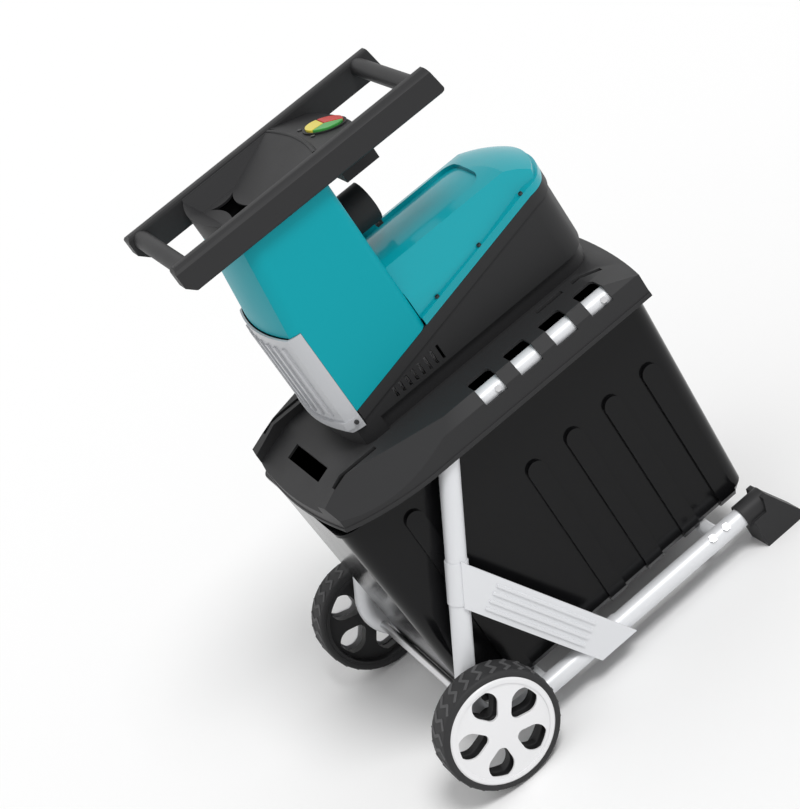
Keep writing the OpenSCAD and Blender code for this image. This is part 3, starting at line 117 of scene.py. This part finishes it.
def finish(name, colour, gloss, grain=900.0, depth=0.08, spread=0.1, metal=0.0, level=0.5, coat=0.0):
    """A moulded, painted or metal finish: plain colour, grain and mottled gloss."""
    material = bpy.data.materials.new(name)
    material.use_nodes = True
    nodes, links = material.node_tree.nodes, material.node_tree.links
    shader = nodes["Principled BSDF"]
    shader.inputs["Base Color"].default_value = (*colour, 1.0)
    shader.inputs["Metallic"].default_value = metal
    shader.inputs["Specular IOR Level"].default_value = level
    shader.inputs["Coat Weight"].default_value = coat
    shader.inputs["Coat Roughness"].default_value = COAT_ROUGHNESS
    surface = nodes.new("ShaderNodeGroup")
    surface.node_tree = GRAIN
    surface.inputs["Grain"].default_value = grain
    surface.inputs["Depth"].default_value = depth
    surface.inputs["Gloss"].default_value = gloss
    surface.inputs["Spread"].default_value = spread
    links.new(surface.outputs["Normal"], shader.inputs["Normal"])
    links.new(surface.outputs["Roughness"], shader.inputs["Roughness"])
    material.diffuse_color = (*colour, 1.0)
    return material


def button_finish(name, colour):
    """The smooth finish that the three push buttons share."""
    return finish(name, colour, gloss=0.3, depth=0.03, level=0.3)


FINISHES = {
    "silver_paint": finish(
        "silver_powder_coat", (0.72, 0.73, 0.75), gloss=0.40, grain=1400, spread=0.08, metal=0.15, level=0.4,
    ),
    "steel": finish("zinc_plated_steel", (0.62, 0.62, 0.63), gloss=0.30, grain=700, depth=0.05, metal=1.0),
    "tyre_rubber": finish(
        "tyre_rubber", (0.030, 0.030, 0.031), gloss=0.62, grain=500, depth=0.25, level=0.25,
    ),
    "black_plastic": finish(
        "black_grained_plastic", (0.026, 0.026, 0.027), gloss=0.50, grain=1100, depth=0.22, level=0.2,
    ),
    "box_plastic": finish(
        "black_box_plastic", (0.004, 0.004, 0.0045), gloss=0.16, grain=600, depth=0.04, spread=0.06, level=0.2,
    ),
    "teal_plastic": finish(
        "teal_plastic", (0.0, 0.33, 0.39), gloss=0.42, grain=1200, depth=0.07, spread=0.06, level=0.16,
    ),
    "silver_plastic": finish(
        "silver_plastic", (0.52, 0.53, 0.55), gloss=0.38, grain=1500, spread=0.06, metal=0.2, level=0.3,
    ),
    "green_plastic": button_finish("green_button", (0.06, 0.36, 0.07)),
    "red_plastic": button_finish("red_button", (0.55, 0.03, 0.02)),
    "yellow_plastic": button_finish("yellow_button", (0.74, 0.62, 0.07)),
    "cast_alloy": finish(
        "cast_alloy", (0.5, 0.5, 0.51), gloss=0.5, grain=500, depth=0.25, spread=0.12, metal=0.9,
    ),
    "tool_steel": finish("tool_steel", (0.14, 0.14, 0.15), gloss=0.4, grain=700, depth=0.12, metal=0.9),
    "winding": finish("lacquered_winding", (0.3, 0.12, 0.05), gloss=0.4, grain=1200, depth=0.3, metal=0.3),
    "can_alloy": finish("drawn_can", (0.7, 0.7, 0.71), gloss=0.3, depth=0.03, metal=1.0),
}

BRIGHT_CAP = finish(
    "bright_silver_cap", (0.80, 0.80, 0.81), gloss=0.32, grain=1500, depth=0.05, spread=0.06,
    metal=0.1, level=0.4,
)
# Paler rubber for the tyre lugs: a painted highlight standing in for the light on their raised tops, not wear
LUG_HIGHLIGHT_RUBBER = finish("lug_highlight_rubber", (0.085, 0.085, 0.087), gloss=0.6, grain=500, depth=0.2, level=0.25)
SHINY_TEAL = finish(
    "shiny_teal_plastic", (0.0, 0.33, 0.39), gloss=0.42, grain=1200, depth=0.05, spread=0.06,
    level=0.1, coat=0.5,
)
CONSOLE_BLACK = finish("console_black", (0.018, 0.018, 0.019), gloss=0.5, grain=1100, depth=0.22, level=0.2)
DARK_SCREW = finish("blackened_screw", (0.05, 0.05, 0.052), gloss=0.42, depth=0.05, spread=0.08, metal=0.6)

# Nodes that don't wear the finish of their slot
OWN_FINISH = {
    "hubcap_near": BRIGHT_CAP,
    "hubcap_far": BRIGHT_CAP,
    "motor_cover": SHINY_TEAL,
    "switch_console": CONSOLE_BLACK,
    "feed_funnel": CONSOLE_BLACK,
    "cover_screws": DARK_SCREW,
    "console_screws": DARK_SCREW,
}


# Mouldings: a merged copy of a node with its true edges softened

SAME_SPOT = 0.002 * MM
FLAT_ANGLE = 0.3
EDGE_ANGLE = 32


def wear(obj, slot, own=None):
    """Gives a piece its own finish, or that of its slot in the record."""
    obj.data.materials.clear()
    obj.data.materials.append(own or FINISHES[slot])
    return obj


def place(name, bm, slot, body, own=None):
    """Turns a bmesh into a piece of the object that rides on a body."""
    mesh = bpy.data.meshes.new(name)
    bm.to_mesh(mesh)
    bm.free()
    obj = bpy.data.objects.new(name, mesh)
    bpy.context.scene.collection.objects.link(obj)
    wear(obj, slot, own)
    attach(obj, body)
    return obj


def smooth_by_angle(bm, angle):
    """Shades all faces smooth, with creases where they meet at the angle, in degrees, or more."""
    for face in bm.faces:
        face.smooth = True
    for edge in bm.edges:
        edge.smooth = len(edge.link_faces) == 2 and edge.calc_face_angle(0.0) < math.radians(angle)


def soften(obj, width, segments=2):
    """Rounds the weighted edges of a piece by a width in millimetres."""
    bevel = obj.modifiers.new("soft_edges", "BEVEL")
    bevel.width = width * MM
    bevel.segments = segments
    bevel.limit_method = "WEIGHT"
    bevel.use_clamp_overlap = True
    even = obj.modifiers.new("even_normals", "WEIGHTED_NORMAL")
    even.keep_sharp = True


def skin(node, width, shortest, angle):
    """A merged copy of a node that stands for it, smooth between its true edges.

    Only edges of at least the shortest length, in millimetres, are rounded.
    """
    bm = bmesh.new()
    bm.from_mesh(cad[node].data)
    bmesh.ops.remove_doubles(bm, verts=bm.verts, dist=SAME_SPOT)
    if width:
        bmesh.ops.dissolve_limit(bm, angle_limit=math.radians(FLAT_ANGLE), verts=bm.verts, edges=bm.edges)
    weight = bm.edges.layers.float.new("bevel_weight_edge")
    smooth_by_angle(bm, angle)
    for edge in bm.edges:
        edge[weight] = 0.0 if edge.smooth or edge.calc_length() < shortest * MM else 1.0
    obj = place(node + "_skin", bm, slot_of[node], body_of[node], OWN_FINISH.get(node))
    normals = obj.data.attributes.get("custom_normal")
    if normals:
        obj.data.attributes.remove(normals)
    if width:
        soften(obj, width)
    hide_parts(node)


# Width of the rounded edges of each skin in millimetres; 0 only smooths its round faces
SOFT_EDGES = {
    "hopper_shell": 1.2,
    "motor_cover": 1.2,
    "cutter_cover": 0.8,
    "lower_housing": 0.8,
    "top_frame": 2.2,
    "feed_funnel": 0.8,
    "switch_console": 0.8,
    "deck_tray": 1.2,
    "collection_box": 4.5,
    "handle_bar_rear": 0.0,
    "handle_bar_front": 0.0,
    "side_tube_near": 0.0,
    "side_tube_far": 0.0,
    "gusset_near": 0.6,
    "gusset_far": 0.6,
    "cross_tube_rear": 0.0,
    "cross_tube_front": 0.0,
    "foot_near": 1.0,
    "foot_far": 1.0,
    "inlet_shroud": 0.6,
    "hubcap_near": 0.0,
    "hubcap_far": 0.0,
    "wheel_near": 0.6,
    "wheel_far": 0.6,
    "start_button": 0.8,
    "stop_button": 0.8,
    "reverse_button": 0.8,
    "adjusting_knob": 0.8,
    "axle": 0.0,
    "axle_caps": 0.0,
    "axle_spacers": 0.0,
}
SHORTEST_EDGES = {"top_frame": 40.0}
CREASE_ANGLES = {"feed_funnel": 14}

for node in cad:
    if node in SOFT_EDGES:
        skin(node, SOFT_EDGES[node], SHORTEST_EDGES.get(node, 0.0), CREASE_ANGLES.get(node, EDGE_ANGLE))
    else:
        wear(cad[node], slot_of[node], OWN_FINISH.get(node))


# Trim: the raised ridge before the console, and the lip around the deck

TRIM_CREASE = 40
RIDGE_SAG = 9.0 * MM
RIDGE_INSET = 1.0 * MM
RIDGE_STEPS = 40
RIDGE_SECTION = [(-6.4, -0.8), (-6.0, 1.0), (-5.0, 1.8), (-2.6, 1.8), (-1.6, 1.0), (-1.2, -0.8)]
LIP_READ = 2.0 * MM
LIP_SECTION = [(-0.8, 0.2), (1.2, 0.6), (1.9, 1.8), (1.9, 5.0), (1.2, 6.2), (-0.8, 6.8)]


def closed_loop(bm, points):
    """A closed ring of edges through the points."""
    verts = [bm.verts.new(point) for point in points]
    return [bm.edges.new((verts[i - 1], verts[i])) for i in range(len(verts))]


def console_ridge():
    """A low rounded ridge along the funnel's bowed edge."""
    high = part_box("feed_funnel")[1]
    bow = (high[1] ** 2 + RIDGE_SAG ** 2) / (2 * RIDGE_SAG)
    middle = high[0] - bow
    turn = math.asin((high[1] - RIDGE_INSET) / bow)
    bm = bmesh.new()
    ring = closed_loop(bm, [
        (
            middle + (bow + d * MM) * math.cos(turn),
            -(bow + d * MM) * math.sin(turn),
            high[2] + z * MM,
        )
        for d, z in RIDGE_SECTION
    ])
    geometry = ring + list({vert for edge in ring for vert in edge.verts})
    bmesh.ops.spin(
        bm, geom=geometry, cent=(middle, 0.0, 0.0), axis=(0.0, 0.0, 1.0), angle=2 * turn, steps=RIDGE_STEPS,
    )
    bmesh.ops.holes_fill(bm, edges=[edge for edge in bm.edges if edge.is_boundary], sides=0)
    bmesh.ops.recalc_face_normals(bm, faces=bm.faces)
    smooth_by_angle(bm, TRIM_CREASE)
    place("console_ridge", bm, slot_of["feed_funnel"], "base", CONSOLE_BLACK)


def deck_lip():
    """A rounded lip along the lower edge of the deck."""
    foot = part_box("deck_tray")[0][2]
    edge_points = [vert.co for vert in cad["deck_tray"].data.vertices if vert.co.z < foot + LIP_READ]
    flat = [Vector((co.x, co.y)) for co in edge_points]
    outline = [flat[i] for i in convex_hull_2d(flat)]
    count = len(outline)
    outward = []
    for i in range(count):
        run = (outline[(i + 1) % count] - outline[i - 1]).normalized()
        outward.append(Vector((run.y, -run.x)))
    bm = bmesh.new()
    rings = []
    for d, z in LIP_SECTION:
        rings.append(closed_loop(bm, [
            (*(point + normal * d * MM), foot + z * MM) for point, normal in zip(outline, outward)
        ]))
    for near, far in zip(rings, rings[1:] + rings[:1]):
        bmesh.ops.bridge_loops(bm, edges=near + far)
    bmesh.ops.recalc_face_normals(bm, faces=bm.faces)
    smooth_by_angle(bm, TRIM_CREASE)
    place("deck_lip", bm, slot_of["deck_tray"], "base")


console_ridge()
deck_lip()


# Tyres: a smooth carcass with zig-zag lugs around its crown, in millimetres

AXLE_X = -212.5 * MM
AXLE_Z = 85 * MM
TYRE_CROWN = 85.0
TYRE_BORE = 74.6
TYRE_HALF = 21.0
TYRE_STEPS = 96
TYRE_CREASE = 35
LUG_COUNT = 26
LUG_HEIGHT = 1.2
LUG_WIDTH = 4.6
LUG_SUNK = 1.0
LUG_BELOW_CROWN = 0.3
LUG_OVERRUN = 2.0
LUG_CHAMFER = 0.5
LUG_LINE = [(-7.0, -15.5), (3.2, -6.0), (-3.2, 6.0), (7.0, 15.5)]


def carcass(bm, mid_y):
    """Spins the tyre's closed section about the axle."""
    base = TYRE_CROWN - LUG_HEIGHT
    half = TYRE_HALF
    section = [
        (TYRE_BORE, 0.6 - half), (TYRE_BORE + 1.4, -half), (base - 3.6, -half), (base - 1.4, 1.0 - half),
        (base - 0.4, 2.6 - half), (base, 5.0 - half), (base, half - 5.0), (base - 0.4, half - 2.6),
        (base - 1.4, half - 1.0), (base - 3.6, half), (TYRE_BORE + 1.4, half), (TYRE_BORE, half - 0.6),
    ]
    points = [bm.verts.new((AXLE_X, mid_y + y * MM, AXLE_Z + r * MM)) for r, y in section]
    edges = [bm.edges.new((points[i - 1], points[i])) for i in range(len(points))]
    bmesh.ops.spin(
        bm, geom=points + edges, cent=(AXLE_X, 0.0, AXLE_Z), axis=(0.0, 1.0, 0.0),
        angle=math.tau, steps=TYRE_STEPS, use_merge=True,
    )
    bmesh.ops.recalc_face_normals(bm, faces=bm.faces)


def lug_bar(bm, axle, turn, start, end):
    """One straight run of a zig-zag lug, laid across the crown at a turn of the wheel."""
    along = Vector((end[0] - start[0], end[1] - start[1]))
    middle = (Vector(start) + Vector(end)) / 2
    height = LUG_HEIGHT + LUG_SUNK
    hub = axle @ Matrix.Rotation(turn + middle.x / TYRE_CROWN, 4, "Y")
    slant = Matrix.Rotation(math.atan2(-along.x, along.y), 4, "Z")
    size = Matrix.Diagonal((LUG_WIDTH * MM, (along.length + LUG_OVERRUN) * MM, height * MM, 1.0))
    spot = Matrix.Translation((0.0, middle.y * MM, (TYRE_CROWN - LUG_BELOW_CROWN - height / 2) * MM))
    made = bmesh.ops.create_cube(bm, size=1.0, matrix=hub @ spot @ slant @ size)
    rims = {edge for vert in made["verts"] for edge in vert.link_edges}
    bmesh.ops.bevel(
        bm, geom=list(rims), offset=LUG_CHAMFER * MM, offset_type="OFFSET", segments=1, profile=0.5,
        affect="EDGES", material=-1,
    )


def treaded_tyre(node, side):
    """A tyre that stands for one of the two plain ones, its lugs a little paler than the carcass as a painted
    highlight for the light on their raised tops.
    """
    low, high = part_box(node)
    mid_y = (low[1] + high[1]) / 2
    bm = bmesh.new()
    carcass(bm, mid_y)
    plain = len(bm.faces)
    axle = Matrix.Translation((AXLE_X, mid_y, AXLE_Z))
    for i in range(LUG_COUNT):
        turn = side * math.tau * i / LUG_COUNT
        for start, end in zip(LUG_LINE, LUG_LINE[1:]):
            lug_bar(bm, axle, turn, start, end)
    smooth_by_angle(bm, TYRE_CREASE)
    obj = place(node + "_treaded", bm, slot_of[node], body_of[node])
    # The lugs get the paler rubber, a painted highlight on the tread
    obj.data.materials.append(LUG_HIGHLIGHT_RUBBER)
    for face in obj.data.polygons[plain:]:
        face.material_index = 1
    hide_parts(node)


treaded_tyre("tyre_near", 1)
treaded_tyre("tyre_far", -1)


# Stage: pale floor, soft light, and the camera at the photograph's angle

FLOOR_SIZE = 30.0
FLOOR_WHITE = 0.98
AMBIENT = 0.6
SUN_STRENGTH = 1.6
SUN_TOWARDS = (0.25, -0.5, 0.83)
SUN_SPREAD = 20
SUN_DISTANCE = 3.0
LENS = 99.6
SENSOR = 36.0


def pale_floor():
    """A wide pale floor that keeps the shadow."""
    bm = bmesh.new()
    bmesh.ops.create_grid(bm, x_segments=1, y_segments=1, size=FLOOR_SIZE)
    mesh = bpy.data.meshes.new("pale_floor")
    bm.to_mesh(mesh)
    bm.free()
    obj = bpy.data.objects.new("pale_floor", mesh)
    bpy.context.scene.collection.objects.link(obj)
    material = bpy.data.materials.new("pale_floor")
    material.use_nodes = True
    shader = material.node_tree.nodes["Principled BSDF"]
    shader.inputs["Base Color"].default_value = (FLOOR_WHITE, FLOOR_WHITE, FLOOR_WHITE, 1.0)
    shader.inputs["Roughness"].default_value = 1.0
    shader.inputs["Specular IOR Level"].default_value = 0.0
    obj.data.materials.append(material)


def pale_surroundings(ambient):
    """White where it is seen or mirrored, and a softer level as light."""
    world = bpy.data.worlds.new("pale_surroundings")
    bpy.context.scene.world = world
    world.use_nodes = True
    nodes, links = world.node_tree.nodes, world.node_tree.links
    background = nodes["Background"]
    background.inputs["Color"].default_value = (1.0, 1.0, 1.0, 1.0)
    path = nodes.new("ShaderNodeLightPath")
    seen = nodes.new("ShaderNodeMath")
    seen.operation = "ADD"
    shown = nodes.new("ShaderNodeMath")
    shown.operation = "ADD"
    shown.use_clamp = True
    level = nodes.new("ShaderNodeMapRange")
    level.inputs["To Min"].default_value = ambient
    level.inputs["To Max"].default_value = 1.0
    links.new(path.outputs["Is Camera Ray"], seen.inputs[0])
    links.new(path.outputs["Is Glossy Ray"], seen.inputs[1])
    links.new(seen.outputs[0], shown.inputs[0])
    links.new(path.outputs["Is Transmission Ray"], shown.inputs[1])
    links.new(shown.outputs[0], level.inputs["Value"])
    links.new(level.outputs["Result"], background.inputs["Strength"])


def soft_sun(strength, towards, spread):
    """Even light from one side, with soft shadows; the spread is in degrees."""
    light = bpy.data.lights.new("soft_sun", "SUN")
    light.energy = strength
    light.angle = math.radians(spread)
    obj = bpy.data.objects.new("soft_sun", light)
    obj.location = Vector(towards) * SUN_DISTANCE
    obj.rotation_mode = "QUATERNION"
    obj.rotation_quaternion = Vector(towards).to_track_quat("Z", "Y")
    bpy.context.scene.collection.objects.link(obj)


def photo_camera():
    """The photograph's camera: rolled, because the machine is shown tipped back on its wheels."""
    right = Vector((0.758979, -0.397006, -0.516078))
    up = Vector((0.632821, 0.263209, 0.728188))
    back = Vector((-0.153259, -0.879265, 0.451004))
    spot = Vector((-0.4874, -2.5908, 1.7511))
    data = bpy.data.cameras.new("photo_camera")
    data.lens = LENS
    data.sensor_width = SENSOR
    obj = bpy.data.objects.new("photo_camera", data)
    turn = Matrix((right, up, back)).transposed().to_4x4()
    obj.matrix_world = Matrix.Translation(spot) @ turn
    bpy.context.scene.collection.objects.link(obj)
    bpy.context.scene.camera = obj


pale_floor()
pale_surroundings(AMBIENT)
soft_sun(SUN_STRENGTH, SUN_TOWARDS, SUN_SPREAD)
photo_camera()
bpy.context.scene.view_settings.view_transform = "Standard"
